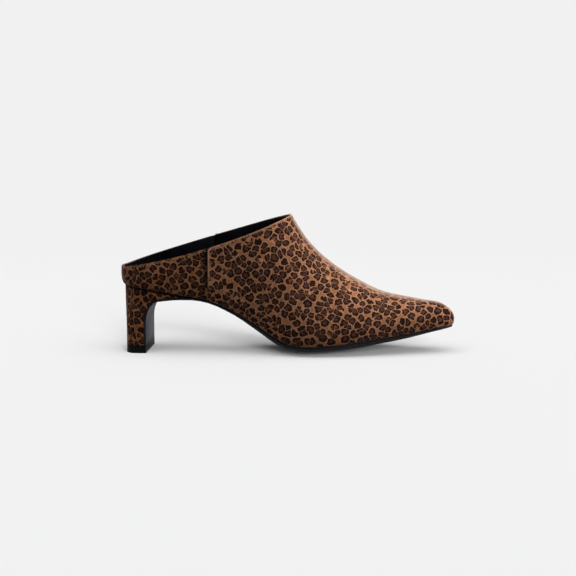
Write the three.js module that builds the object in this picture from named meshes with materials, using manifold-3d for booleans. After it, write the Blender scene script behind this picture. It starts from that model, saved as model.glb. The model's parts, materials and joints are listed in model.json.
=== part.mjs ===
// A women's heeled mule for the right foot, EU size 38, in millimetres, +Z up.
// The toe points along +X, the outer (lateral) side faces -Y and the inner (medial) side +Y.
// The closed pointed vamp and the low quarter are one hollow upper, lasted over the insole.
// A thin sole runs from the toe, up the arch and down the front of a slim, wide heel block,
// which stands on a rubber top piece. The shape follows the last: its bed, outline and ridge.

import * as THREE from 'three';
import { mergeVertices } from 'three/addons/utils/BufferGeometryUtils.js';
import Module from 'manifold-3d';

const wasm = await Module();
wasm.setup();

// Sizes of the last
const last_length = 254.3;      // along the sole's edge line, back to toe
const ball_width = 72;          // width of the last's bottom at the ball
const heel_height = 51.2;       // floor to the last's edge at the back
const toe_spring = 13.5;        // rise of the toe above the ball
const throat_height = 96.6;     // last above its own edge, where the collar ends on the instep
const throat_from_back = 129.7; // collar's front end, measured from the back of the last
const roll = 3;                 // how far the upper swells past the last's edge at the heel
const belly_height = 9;         // height of that swelling above the edge at the heel
const ball_crown = 4.8;         // crosswise roundness of the bottom at the ball

// Sizes of the upper
const wall = 1.8;               // suede and lining together
const lasting_margin = 9;       // upper turned in under the insole
const margin_share = 0.45;      // most of the half width that the margin may take up
const tuck_share = 0.45;        // of the wall, inside the last's edge where it turns in
const collar_rise = 14.8;       // collar above the last's edge at the back
const collar_sag_outer = 5.2;   // how far the outer collar dips below a straight line
const collar_sag_inner = -0.8;  // the inner collar stays a little above that line
const seam_from_back = 67.4;    // side seam, where the vamp laps over the quarter
const seam_step = 0.9;          // thickness of the vamp's folded edge
const seam_lap = 15;            // length over which the lap fades out
const waist_from_back = 108.6;  // where the narrow waist ends and the throat begins
const seam_face = 0.25;         // width of the step's face

// Sizes of the sole and insole
const sole_thickness = 3.1;     // at the ball
const sole_margin = 0.8;        // sole past the last's edge
const sole_bevel = 0.9;
const sole_draw = 0.2;          // the sole's upper rim drawn in against the upper
const flap_thickness = 1.4;     // sole leather on the front of the heel
const flap_bevel = 0.5;
const rest_flat = 0.7;          // depth of the flat spot under the ball
const insole_thickness = 2.5;

// Sizes of the heel
const heel_width = 46.6;        // across the bottom of the block
const heel_depth = 15.1;        // front to back at the bottom, without the flap
const heel_set_back = 2.1;      // back of the block's foot, ahead of the last's back
const heel_back_bow = 2;        // bow of the block's rear face
const heel_corner = 7;          // exponent of the block's rear corners, higher is squarer
const heel_neck_from = 12;      // height where the block starts to flare to the seat
const heel_seat_inset = 0.2;    // block inside the last's edge at the seat
const breast_reach = 11;        // curve from the front of the heel into the arch
const breast_rise = 17;
const wedge_depth = 5.6;        // block above the sole, where that curve ends
const wedge_end_from_back = 50.5; // tip of the block under the arch
const wedge_tip = 0.6;          // its thickness there
const wedge_join = 8;           // length over which the sole takes over from the wedge
const top_piece_thickness = 5.3;

const gap = 0.3;                // clearance between neighbouring pieces
const spare = 4;                // length that is cut away again

// The last, a row for each section from back to toe. Shares of the named sizes:
// at of last_length; pitch of the heel's rise and spring of toe_spring, above the ball;
// outer and inner of ball_width; ridge of throat_height above the edge; sway of ball_width;
// swell_outer and swell_inner of roll; belly of belly_height; crown of ball_crown;
// sole of sole_thickness; rim of sole_margin. full_outer and full_inner are exponents.
const LAST_COLUMNS = ['at', 'pitch', 'spring', 'outer', 'inner', 'ridge', 'sway', 'swell_outer',
  'swell_inner', 'belly', 'crown', 'sole', 'rim', 'full_outer', 'full_inner'];
const LAST_ROWS = [
  [0.000, 1.000, 0.000, 0.000, 0.000, 0.449, 0.000, 1.00, 1.00, 1.00, 0.00, 0.48, 0.4, 2.00, 2.00],
  [0.010, 0.999, 0.000, 0.144, 0.144, 0.470, 0.000, 1.00, 1.00, 1.00, 0.00, 0.48, 0.4, 2.00, 2.00],
  [0.027, 0.993, 0.000, 0.231, 0.231, 0.510, 0.000, 0.97, 0.97, 1.00, 0.00, 0.48, 0.4, 2.00, 2.00],
  [0.059, 0.972, 0.000, 0.304, 0.304, 0.580, 0.000, 0.93, 0.93, 1.00, 0.00, 0.48, 0.4, 2.00, 2.00],
  [0.106, 0.929, 0.000, 0.331, 0.328, 0.658, 0.000, 0.90, 0.90, 1.00, 0.00, 0.48, 0.4, 2.00, 2.00],
  [0.184, 0.853, 0.000, 0.331, 0.311, 0.851, 0.003, 1.00, 1.20, 1.10, 0.00, 0.48, 0.4, 2.00, 2.00],
  [0.262, 0.768, 0.000, 0.322, 0.272, 1.020, 0.008, 1.17, 1.67, 1.33, 0.03, 0.48, 0.4, 2.00, 2.00],
  [0.340, 0.582, 0.000, 0.328, 0.250, 1.212, 0.012, 1.50, 2.30, 1.67, 0.20, 0.62, 0.5, 1.95, 2.00],
  [0.419, 0.318, 0.000, 0.372, 0.283, 1.268, 0.016, 1.50, 2.30, 1.78, 0.52, 0.92, 0.7, 1.85, 1.90],
  [0.474, 0.119, 0.000, 0.428, 0.350, 1.115, 0.019, 1.20, 1.80, 1.55, 0.75, 1.00, 0.9, 1.70, 1.80],
  [0.511, 0.034, 0.000, 0.465, 0.403, 0.998, 0.021, 1.05, 1.40, 1.35, 0.92, 1.00, 1.0, 1.62, 1.75],
  [0.548, 0.002, 0.000, 0.494, 0.453, 0.847, 0.030, 0.95, 1.10, 1.22, 1.00, 0.97, 1.0, 1.58, 1.75],
  [0.575, 0.000, 0.000, 0.504, 0.478, 0.764, 0.038, 0.90, 1.00, 1.17, 1.00, 0.95, 1.0, 1.56, 1.75],
  [0.634, 0.000, 0.089, 0.494, 0.506, 0.612, 0.056, 0.87, 0.87, 1.10, 1.00, 1.03, 1.0, 1.62, 1.85],
  [0.712, 0.000, 0.252, 0.439, 0.486, 0.458, 0.070, 0.83, 0.83, 1.00, 0.85, 1.10, 1.0, 1.78, 2.00],
  [0.791, 0.000, 0.459, 0.352, 0.421, 0.331, 0.074, 0.80, 0.80, 0.90, 0.52, 1.06, 1.0, 1.92, 2.10],
  [0.869, 0.000, 0.644, 0.254, 0.325, 0.264, 0.068, 0.73, 0.73, 0.74, 0.32, 0.82, 0.8, 2.10, 2.20],
  [0.928, 0.000, 0.822, 0.174, 0.242, 0.214, 0.056, 0.63, 0.63, 0.60, 0.20, 0.60, 0.5, 2.20, 2.25],
  [0.967, 0.000, 0.933, 0.113, 0.181, 0.188, 0.046, 0.55, 0.55, 0.52, 0.10, 0.52, 0.3, 2.30, 2.30],
  [0.990, 0.000, 0.985, 0.046, 0.118, 0.170, 0.040, 0.50, 0.50, 0.47, 0.03, 0.46, 0.2, 2.30, 2.30],
  [1.000, 0.000, 1.000, -0.036, 0.036, 0.161, 0.036, 0.50, 0.50, 0.47, 0.00, 0.45, 0.2, 2.30, 2.30],
];

// How finely the pieces are divided
const BACK_COLUMNS = 8;
const QUARTER_COLUMNS = 7;
const WAIST_COLUMNS = 6;
const THROAT_COLUMNS = 6;
const VAMP_COLUMNS = 15;
const TOE_COLUMNS = 10;
const TUCK_ROWS = 4;            // from the last's edge to the swelling
const CROWN_ROWS = 10;          // from the swelling to the collar or the ridge
const FLOOR_CELLS = 8;          // across the sole and the insole

const smoothstep = (t) => {
  const u = Math.min(Math.max(t, 0), 1);
  return u * u * (3 - 2 * u);
};
const mix = (a, b, t) => a + (b - a) * t;

// A smooth curve through (xs, ys) that never overshoots them
function curveThrough(xs, ys) {
  const steps = xs.slice(1).map((x, i) => x - xs[i]);
  const slopes = steps.map((h, i) => (ys[i + 1] - ys[i]) / h);
  const tangents = ys.map((_, i) => {
    if (i === 0) return slopes[0];
    if (i === slopes.length) return slopes[i - 1];
    if (slopes[i - 1] * slopes[i] <= 0) return 0;
    const [h0, h1] = [steps[i - 1], steps[i]];
    return 3 * (h0 + h1) / ((2 * h1 + h0) / slopes[i - 1] + (h1 + 2 * h0) / slopes[i]);
  });
  return (x) => {
    let i = 0;
    while (i < steps.length - 1 && x > xs[i + 1]) i += 1;
    const t = Math.min(Math.max((x - xs[i]) / steps[i], 0), 1);
    const before = (1 + 2 * t) * (1 - t) * (1 - t);
    const after = t * t * (3 - 2 * t);
    return ys[i] * before + ys[i + 1] * after
      + steps[i] * (1 - t) * t * (tangents[i] * (1 - t) - tangents[i + 1] * t);
  };
}

// Widths are drawn over an angle that runs from 0 at the back to 1 at the toe,
// so that both round ends come out round.
const turnOf = (x) => Math.acos(Math.min(Math.max(1 - 2 * x / last_length, -1), 1)) / Math.PI;
const fromTurn = (turn) => last_length * (1 - Math.cos(Math.PI * turn)) / 2;
const columnOf = (name) => LAST_ROWS.map((row) => row[LAST_COLUMNS.indexOf(name)]);
const stationsAt = columnOf('at').map((share) => share * last_length);
const last = {};
for (const name of LAST_COLUMNS.slice(1)) {
  const overTurn = name === 'outer' || name === 'inner';
  const draw = curveThrough(overTurn ? stationsAt.map(turnOf) : stationsAt, columnOf(name));
  last[name] = overTurn ? (x) => draw(turnOf(x)) : draw;
}

// Heights of the last's edge, bed and ridge
const ball_edge = gap + sole_thickness + ball_crown - rest_flat;
const edgeHeight = (x) => ball_edge + (heel_height - ball_edge) * last.pitch(x)
  + toe_spring * last.spring(x);
const ridgeHeight = (x) => edgeHeight(x) + throat_height * last.ridge(x);
const ridgeSide = (x) => ball_width * last.sway(x);

// The outline of the last's bottom. side is -1 on the outer side and 1 on the inner side.
const sideOf = (x, side) => side * ball_width * (side < 0 ? last.outer(x) : last.inner(x));
const NORMAL_STEP = 1e-3;
function outlineNormal(x, side) {
  const turn = Math.min(Math.max(turnOf(x), NORMAL_STEP), 1 - NORMAL_STEP);
  const ahead = fromTurn(turn + NORMAL_STEP);
  const behind = fromTurn(turn - NORMAL_STEP);
  if (x <= 0) return new THREE.Vector2(-1, 0);
  if (x >= last_length) return new THREE.Vector2(1, 0);
  const run = new THREE.Vector2(ahead - behind, sideOf(ahead, side) - sideOf(behind, side));
  return new THREE.Vector2(-run.y, run.x).multiplyScalar(side).normalize();
}
function outlinePoint(x, side, offset = 0) {
  return outlineNormal(x, side).multiplyScalar(offset).add(new THREE.Vector2(x, sideOf(x, side)));
}

// The bed is the last's bottom surface, lowest along its middle at the ball.
function bedHeight(x, y) {
  const inside = Math.min(Math.max(x, 0), last_length);
  const [outer, inner] = [sideOf(inside, -1), sideOf(inside, 1)];
  const half = Math.max((inner - outer) / 2, 1e-6);
  const across = Math.min(Math.abs(y - (inner + outer) / 2) / half, 1);
  return edgeHeight(inside) - ball_crown * last.crown(inside) * (1 - across * across);
}

// Collar height along the shoe, from the back to the throat
function collarHeight(x, side) {
  const share = Math.min(Math.max(x / throat_from_back, 0), 1);
  const sag = side < 0 ? collar_sag_outer : collar_sag_inner;
  const back = heel_height + collar_rise;
  return mix(back, ridgeHeight(throat_from_back), share) - 4 * sag * share * (1 - share);
}

// The upper's outside is a fan of columns. Each starts at a point of the outline, swells past it,
// and leans in to the ridge; near the toe the columns turn towards the ridge's end.
const heel_centre = 0.098 * last_length;
const fan_start = 0.873 * last_length;
function ridgeFoot(x) {
  const along = Math.max(x - fan_start, 0) / (last_length - fan_start);
  const end = x < fan_start
    ? Math.max(x, heel_centre)
    : fan_start + (last_length - fan_start) / 2 * (2 * along - along * along);
  return new THREE.Vector2(end, ridgeSide(end));
}
function columnAt(x, side) {
  const swell = roll * (side < 0 ? last.swell_outer(x) : last.swell_inner(x));
  return {
    x, side, swell,
    normal: outlineNormal(x, side),
    edge: outlinePoint(x, side),
    belly: outlinePoint(x, side, swell),
    belly_rise: belly_height * last.belly(x),
    foot: ridgeFoot(x),
    full: side < 0 ? last.full_outer(x) : last.full_inner(x),
  };
}
function crownPoint(column, angle) {
  const lean = Math.cos(angle);
  const rise = Math.sin(angle) ** (2 / column.full);
  const plan = column.foot.clone().lerp(column.belly, lean);
  const start = edgeHeight(column.x) + column.belly_rise;
  return new THREE.Vector3(plan.x, plan.y, mix(start, ridgeHeight(plan.x), rise));
}
function collarAngle(column) {
  let [low, high] = [0, Math.PI / 2];
  for (let i = 0; i < 40; i += 1) {
    const middle = (low + high) / 2;
    const point = crownPoint(column, middle);
    if (point.z < collarHeight(point.x, column.side)) low = middle;
    else high = middle;
  }
  return low;
}
// The tucked-in part below the swelling: offset past the outline, and height above the edge
const tuckOutside = (column, turn) => [
  column.swell * Math.sin(turn),
  column.belly_rise * (1 - Math.cos(turn)),
];
const tuckInside = (column, turn) => {
  const start = -wall * tuck_share;
  return [
    mix(start, column.swell - wall, Math.sin(turn)),
    mix(wall, column.belly_rise, 1 - Math.cos(turn)),
  ];
};

// Columns from the back to the toe
const evenly = (from, to, count) => Array.from({ length: count }, (_, i) => mix(from, to, i / count));
const stations = [
  ...evenly(0, turnOf(heel_centre), BACK_COLUMNS).map(fromTurn),
  ...evenly(heel_centre, seam_from_back, QUARTER_COLUMNS),
  seam_from_back,
  ...evenly(seam_from_back + seam_face, waist_from_back, WAIST_COLUMNS),
  ...evenly(1, 0, THROAT_COLUMNS).map((t) => mix(throat_from_back, waist_from_back, t * t)),
  ...evenly(throat_from_back, fan_start, VAMP_COLUMNS),
  ...evenly(turnOf(fan_start), 1, TOE_COLUMNS).map(fromTurn),
  last_length,
];
const throat_column = stations.indexOf(throat_from_back);
const toe_column = stations.length - 1;
const seamStep = (x) => (x <= seam_from_back ? 0
  : seam_step * (1 - smoothstep((x - seam_from_back - seam_face) / seam_lap)));

// Points and faces of a closed mesh under construction
class Shell {
  constructor() {
    this.points = [];
    this.faces = [];
  }
  point(p) {
    this.points.push(p);
    return this.points.length - 1;
  }
  // A cell's two faces meet along its shorter diagonal, so that narrow skewed cells lie smooth
  quad(a, b, c, d) {
    const span = (i, j) => this.points[i].distanceTo(this.points[j]);
    const faces = span(a, c) <= span(b, d) ? [[a, b, c], [a, c, d]] : [[b, c, d], [b, d, a]];
    for (const face of faces) {
      if (new Set(face).size === 3) this.faces.push(face);
    }
  }
  geometry() {
    const geometry = new THREE.BufferGeometry();
    const flat = this.points.flatMap((p) => [p.x, p.y, p.z]);
    geometry.setAttribute('position', new THREE.Float32BufferAttribute(flat, 3));
    geometry.setIndex(this.faces.flat());
    return geometry;
  }
}

// Upper: one hollow wall, open at the collar and under the insole
function makeUpper() {
  const rows = 2 + TUCK_ROWS + CROWN_ROWS;
  const edge_row = 1;
  const belly_row = edge_row + TUCK_ROWS;
  const top_row = rows - 1;
  const skin = new Shell();
  const index = { '-1': [], '1': [] };
  const shares = (k, row, side) => side > 0
    && (k === 0 || k === toe_column || (row === top_row && k >= throat_column));

  // The outside of the last, with the margin turned in below it
  const outside = (column, row) => {
    if (row === 0) {
      const inward = column.foot.clone().sub(column.edge);
      const reach = Math.min(lasting_margin, margin_share * inward.length());
      const plan = column.edge.clone().addScaledVector(inward.normalize(), reach);
      return new THREE.Vector3(plan.x, plan.y, bedHeight(plan.x, plan.y));
    }
    if (row <= belly_row) {
      const turn = (row - edge_row) / TUCK_ROWS * Math.PI / 2;
      const [offset, rise] = tuckOutside(column, turn);
      const plan = column.edge.clone().addScaledVector(column.normal, offset);
      return new THREE.Vector3(plan.x, plan.y, edgeHeight(column.x) + rise);
    }
    const top = column.x < throat_from_back ? collarAngle(column) : Math.PI / 2;
    return crownPoint(column, top * (row - belly_row) / CROWN_ROWS);
  };
  const columns = [];
  for (const side of [-1, 1]) {
    stations.forEach((x, k) => {
      const column = columnAt(x, side);
      index[side][k] = [];
      for (let row = 0; row < rows; row += 1) {
        if (shares(k, row, side)) {
          index[side][k][row] = index[-1][k][row];
        } else {
          index[side][k][row] = skin.point(outside(column, row));
          columns.push({ column, row });
        }
      }
    });
  }
  const sheet = (add, flip) => {
    for (const side of [-1, 1]) {
      for (let k = 0; k < toe_column; k += 1) {
        for (let row = 0; row < top_row; row += 1) {
          const [a, b] = [index[side][k][row] + add, index[side][k + 1][row] + add];
          const [c, d] = [index[side][k + 1][row + 1] + add, index[side][k][row + 1] + add];
          if ((side < 0) !== flip) skin.quad(a, b, c, d);
          else skin.quad(d, c, b, a);
        }
      }
    }
  };
  sheet(0, false);
  const smooth = skin.geometry();
  smooth.computeVertexNormals();
  const normals = smooth.getAttribute('normal');

  // The inside lies one wall within, and the vamp's folded edge stands out at the side seam
  const count = skin.points.length;
  const inner = columns.map(({ column, row }, i) => {
    const point = skin.points[i];
    if (row > belly_row) {
      const normal = new THREE.Vector3().fromBufferAttribute(normals, i);
      return point.clone().addScaledVector(normal, -wall);
    }
    if (row === 0) return point.clone().setZ(point.z + wall);
    const turn = (row - edge_row) / TUCK_ROWS * Math.PI / 2;
    const [offset, rise] = tuckInside(column, turn);
    const plan = column.edge.clone().addScaledVector(column.normal, offset);
    return new THREE.Vector3(plan.x, plan.y, edgeHeight(column.x) + rise);
  });
  columns.forEach(({ column, row }, i) => {
    const fade = Math.min(Math.max(row - edge_row, 0) / TUCK_ROWS, 1);
    const normal = new THREE.Vector3().fromBufferAttribute(normals, i);
    skin.points[i] = skin.points[i].clone().addScaledVector(normal, seamStep(column.x) * fade);
  });
  inner.forEach((p) => skin.point(p));
  sheet(count, true);

  // The rims join outside and inside along the collar and along the margin
  for (const side of [-1, 1]) {
    for (let k = 0; k < toe_column; k += 1) {
      const rims = k < throat_column ? [[top_row, side < 0], [0, side > 0]] : [[0, side > 0]];
      for (const [row, forward] of rims) {
        const [a, b] = [index[side][k][row], index[side][k + 1][row]];
        if (forward) skin.quad(a, b, b + count, a + count);
        else skin.quad(a, a + count, b + count, b);
      }
    }
  }
  return skin.geometry();
}

// A slab whose sections run across the shoe. Each section lists its points as a closed loop;
// a section whose points all meet in a short edge closes an end.
function slabFrom(sections) {
  const slab = new Shell();
  const rings = sections.map((section) => {
    const made = new Map();
    return section.map((p) => {
      const key = [p.x, p.y, p.z].map((v) => v.toFixed(4)).join();
      if (!made.has(key)) made.set(key, slab.point(p));
      return made.get(key);
    });
  });
  const around = rings[0].length;
  for (let k = 0; k + 1 < rings.length; k += 1) {
    for (let i = 0; i < around; i += 1) {
      const j = (i + 1) % around;
      slab.quad(rings[k][j], rings[k + 1][j], rings[k + 1][i], rings[k][i]);
    }
  }
  return { slab, rings };
}
const fractions = Array.from({ length: FLOOR_CELLS + 1 }, (_, i) => i / FLOOR_CELLS);

// Insole: lies on the turned-in margin, its edge following the inside of the wall, skived at the toe
function makeInsole() {
  const insideAt = (column, height) => {
    const steps = Array.from({ length: TUCK_ROWS + 1 }, (_, i) => i / TUCK_ROWS * Math.PI / 2);
    const wallInside = steps.map((turn) => tuckInside(column, turn));
    const above = Math.max(wallInside.findIndex(([, rise]) => rise >= height), 1);
    const [low, high] = [wallInside[above - 1], wallInside[above]];
    return mix(low[0], high[0], (height - low[1]) / (high[1] - low[1])) - gap;
  };
  const sections = stations.filter((x) => x !== seam_from_back).map((x) => {
    const level = (height) => {
      const ends = [-1, 1].map((side) => {
        const column = columnAt(x, side);
        return column.edge.clone().addScaledVector(column.normal, insideAt(column, height - gap));
      });
      return fractions.map((t) => {
        const plan = ends[0].clone().lerp(ends[1], t);
        return new THREE.Vector3(plan.x, plan.y, bedHeight(x, plan.y) + height);
      });
    };
    const under = level(wall + gap);
    const over = level(Math.min(wall + gap + insole_thickness, 0.9 * belly_height * last.belly(x)));
    return [...under, ...over.reverse()];
  });
  return slabFrom(sections).slab.geometry();
}

// The sole's upper face lies under the last, and from the arch back under the heel's wedge,
// until it turns down the block's front, the breast.
const block_front = heel_set_back + heel_depth;
const breast = block_front + gap;
const arc_end = breast + flap_thickness + breast_reach;
const wedgeDepth = curveThrough(
  [arc_end, (arc_end + wedge_end_from_back) / 2, wedge_end_from_back],
  [wedge_depth, mix(wedge_tip, wedge_depth, 0.44), wedge_tip],
);
const underWedge = (x) => edgeHeight(x) - gap - wedgeDepth(x) - gap;
const joinWedge = (x) => smoothstep((x - wedge_end_from_back) / wedge_join);
const soleTop = (x, y) => mix(underWedge(x), bedHeight(x, y) - gap, joinWedge(x));
const soleDepth = (x) => mix(flap_thickness, sole_thickness * last.sole(x), joinWedge(x));
const arc_centre = new THREE.Vector2(arc_end, underWedge(arc_end) - flap_thickness - breast_rise);
// A point of the breast's curve, from straight ahead (0) to straight up (a quarter turn),
// outside the visible face by the given depth
function breastPoint(angle, depth) {
  const reach = new THREE.Vector2(-(breast_reach + depth) * Math.cos(angle),
    (breast_rise + depth) * Math.sin(angle));
  return reach.add(arc_centre);
}

// Outsole: forepart, shank and the flap on the heel's breast in one piece
function makeOutsole() {
  const middleOf = (x) => (sideOf(x, -1) + sideOf(x, 1)) / 2;
  const slopeAt = (x) => {
    const [behind, ahead] = [Math.max(x - 1, 0), Math.min(x + 1, last_length)];
    const rise = soleTop(ahead, middleOf(ahead)) - soleTop(behind, middleOf(behind));
    return Math.atan2(rise, ahead - behind);
  };
  const rimOf = (x) => sole_margin * last.rim(x);
  const ring = (level, edges) => {
    const [top, middle, bottom] = edges.map(([offset, depth]) => level(offset, depth));
    return [middle[0], ...bottom, middle.at(-1), ...top.reverse()];
  };
  const section = (x) => {
    const thick = soleDepth(x);
    const tilt = slopeAt(x);
    const level = (offset, depth) => {
      const ends = [-1, 1].map((side) => outlinePoint(x, side, offset));
      return fractions.map((t) => {
        const plan = ends[0].clone().lerp(ends[1], t);
        const z = soleTop(plan.x, plan.y) - depth * Math.cos(tilt);
        return new THREE.Vector3(plan.x + depth * Math.sin(tilt), plan.y, Math.max(z, 0));
      });
    };
    const rim = rimOf(x);
    const bevel = Math.min(sole_bevel, thick / 2);
    return ring(level, [[rim - sole_draw, 0], [rim, thick * 0.4], [rim - bevel, thick]]);
  };
  // The flap's sections turn with the breast's curve, then run straight down
  const flapSection = (angle, drop) => {
    const turned = smoothstep(1 - angle / (Math.PI / 2));
    const level = (offset, depth) => {
      const at = breastPoint(angle, flap_thickness - depth);
      const ends = [-1, 1].map((side) => mix(
        outlinePoint(Math.max(at.x, breast), side, rimOf(breast)).y,
        side * heel_width / 2,
        turned,
      ) + side * offset);
      return fractions.map((t) => new THREE.Vector3(at.x, mix(ends[0], ends[1], t), at.y - drop));
    };
    return ring(level, [[-sole_draw, 0], [0, flap_thickness * 0.4], [-flap_bevel, flap_thickness]]);
  };
  const flap_drop = arc_centre.y - top_piece_thickness - gap;
  const arc_steps = 8;
  const sections = [
    ...[1, 0.66, 0.33].map((share) => flapSection(0, flap_drop * share)),
    ...evenly(0, Math.PI / 2, arc_steps).map((angle) => flapSection(angle, 0)),
    ...evenly(arc_end, wedge_end_from_back, 4).map(section),
    ...stations.filter((x) => x >= wedge_end_from_back && x !== seam_from_back).map(section),
  ];
  const { slab, rings } = slabFrom(sections);
  // The flap's lower end is closed by rungs between its two faces
  const [side, ...rest] = rings[0];
  const under = rest.slice(0, fractions.length);
  const [far_side, ...over] = rest.slice(fractions.length);
  over.reverse();
  for (let i = 0; i < FLOOR_CELLS; i += 1) {
    slab.quad(over[i], over[i + 1], under[i + 1], under[i]);
  }
  slab.faces.push([side, over[0], under[0]], [far_side, under.at(-1), over.at(-1)]);
  return slab.geometry();
}

// The block's outline at a height: bowed with square corners at the foot, round at the seat
const CORNER_COLUMNS = 12;
function blockOutline(flare) {
  const front = wedge_end_from_back + spare;
  const along = [
    ...evenly(0, turnOf(heel_centre), CORNER_COLUMNS).map(fromTurn),
    ...evenly(heel_centre, front, 5),
    front,
  ];
  const sidePoints = (side) => along.map((x, i) => {
    const turn = Math.min(i / CORNER_COLUMNS, 1) * Math.PI / 2;
    const across = Math.sin(turn) ** (2 / heel_corner);
    const back = i < CORNER_COLUMNS ? Math.cos(turn) ** (2 / heel_corner) : 0;
    const foot = new THREE.Vector2(
      mix(Math.max(x, heel_centre), heel_set_back, back) + heel_back_bow * across * across * back,
      side * across * heel_width / 2,
    );
    return foot.lerp(outlinePoint(x, side, -heel_seat_inset), flare);
  });
  return [...sidePoints(-1).reverse(), ...sidePoints(1).slice(1)];
}

const toSolid = (geometry) => {
  const bare = geometry.clone();
  bare.deleteAttribute('normal');
  bare.deleteAttribute('uv');
  const merged = mergeVertices(bare, 1e-4);
  return new wasm.Manifold(new wasm.Mesh({
    numProp: 3,
    vertProperties: merged.getAttribute('position').array,
    triVerts: new Uint32Array(merged.index.array),
  }));
};
const fromSolid = (solid) => {
  const mesh = solid.getMesh();
  const geometry = new THREE.BufferGeometry();
  geometry.setAttribute('position', new THREE.BufferAttribute(mesh.vertProperties, 3));
  geometry.setIndex(new THREE.BufferAttribute(mesh.triVerts, 1));
  return geometry;
};

// Heel: the outline's loft, cut by the side view with its breast, wedge and seat
function makeHeel() {
  const seat_top = heel_height + spare;
  const levels = [0, 0.08, 0.2, 0.32, 0.44, 0.56, 0.68, 0.8, 0.9, 1];
  const loft = new Shell();
  const rings = levels.map((share) => {
    const z = share * seat_top;
    const flare = smoothstep((z - heel_neck_from) / (heel_height - heel_neck_from));
    return blockOutline(flare).map((p) => loft.point(new THREE.Vector3(p.x, p.y, z)));
  });
  const count = rings[0].length;
  for (let k = 0; k + 1 < rings.length; k += 1) {
    for (let i = 0; i < count; i += 1) {
      const j = (i + 1) % count;
      loft.quad(rings[k][j], rings[k][i], rings[k + 1][i], rings[k + 1][j]);
    }
  }
  for (const [ring, up] of [[rings[0], false], [rings.at(-1), true]]) {
    for (let i = 0; i < (count - 1) / 2; i += 1) {
      const [a, b, c, d] = [ring[i], ring[i + 1], ring[count - 2 - i], ring[count - 1 - i]];
      if (up) loft.quad(d, c, b, a);
      else loft.quad(a, b, c, d);
    }
  }

  const back = -2 * roll;
  const foot = top_piece_thickness + gap;
  const arc_steps = 8;
  const wedge_steps = 5;
  const seat_steps = 12;
  const angles = Array.from({ length: arc_steps + 1 }, (_, i) => i / arc_steps * Math.PI / 2);
  const wedge = evenly(arc_end, wedge_end_from_back, wedge_steps).slice(1);
  const seat = evenly(wedge_end_from_back, 0, seat_steps);
  const profile = new THREE.Shape([
    new THREE.Vector2(back, foot),
    new THREE.Vector2(block_front, foot),
    ...angles.map((angle) => breastPoint(angle, flap_thickness + gap)),
    ...wedge.map((x) => new THREE.Vector2(x, underWedge(x) + gap)),
    new THREE.Vector2(wedge_end_from_back, underWedge(wedge_end_from_back) + gap),
    ...seat.map((x) => new THREE.Vector2(x, edgeHeight(x) - gap)),
    new THREE.Vector2(0, edgeHeight(0) - gap),
    new THREE.Vector2(back, edgeHeight(0) - gap),
  ]);
  const reach = 2 * heel_width;
  const slice = new THREE.ExtrudeGeometry(profile, { depth: reach, bevelEnabled: false, steps: 1 });
  slice.translate(0, 0, -reach / 2);
  slice.rotateX(Math.PI / 2);
  return fromSolid(toSolid(loft.geometry()).intersect(toSolid(slice)));
}

// Top piece: the rubber foot of the heel, flush with the flap in front
function makeTopPiece() {
  const front = breast + flap_thickness;
  const outline = blockOutline(0);
  const middle = (outline.length - 1) / 2;
  const foot = outline.filter((p, i) => Math.abs(i - middle) <= CORNER_COLUMNS && p.x < front);
  const shape = new THREE.Shape([
    new THREE.Vector2(front, foot[0].y),
    ...foot,
    new THREE.Vector2(front, foot.at(-1).y),
  ]);
  return new THREE.ExtrudeGeometry(shape, {
    depth: top_piece_thickness, bevelEnabled: false, steps: 1,
  });
}

const suede = new THREE.MeshStandardMaterial({ color: 0x8c5c38, roughness: 0.9, metalness: 0 });
const lining = new THREE.MeshStandardMaterial({ color: 0x15151b, roughness: 0.5, metalness: 0 });
const sole_leather = new THREE.MeshStandardMaterial({ color: 0x1d1c22, roughness: 0.45, metalness: 0 });
const rubber = new THREE.MeshStandardMaterial({ color: 0x111113, roughness: 0.7, metalness: 0 });

const mule = new THREE.Group();
for (const [name, geometry, material] of [
  ['upper', makeUpper(), suede],
  ['insole', makeInsole(), lining],
  ['outsole', makeOutsole(), sole_leather],
  ['heel', makeHeel(), suede],
  ['top_piece', makeTopPiece(), rubber],
]) {
  const mesh = new THREE.Mesh(geometry, material);
  mesh.name = name;
  mule.add(mesh);
}

// The origin is on the floor, under the middle of the shoe
const extent = new THREE.Box3().setFromObject(mule, true);
const centre = extent.getCenter(new THREE.Vector3());
mule.position.set(-centre.x, -centre.y, 0);

export default mule;
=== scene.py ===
import json
import math

import bpy
from mathutils import Matrix, Vector, kdtree

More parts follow.
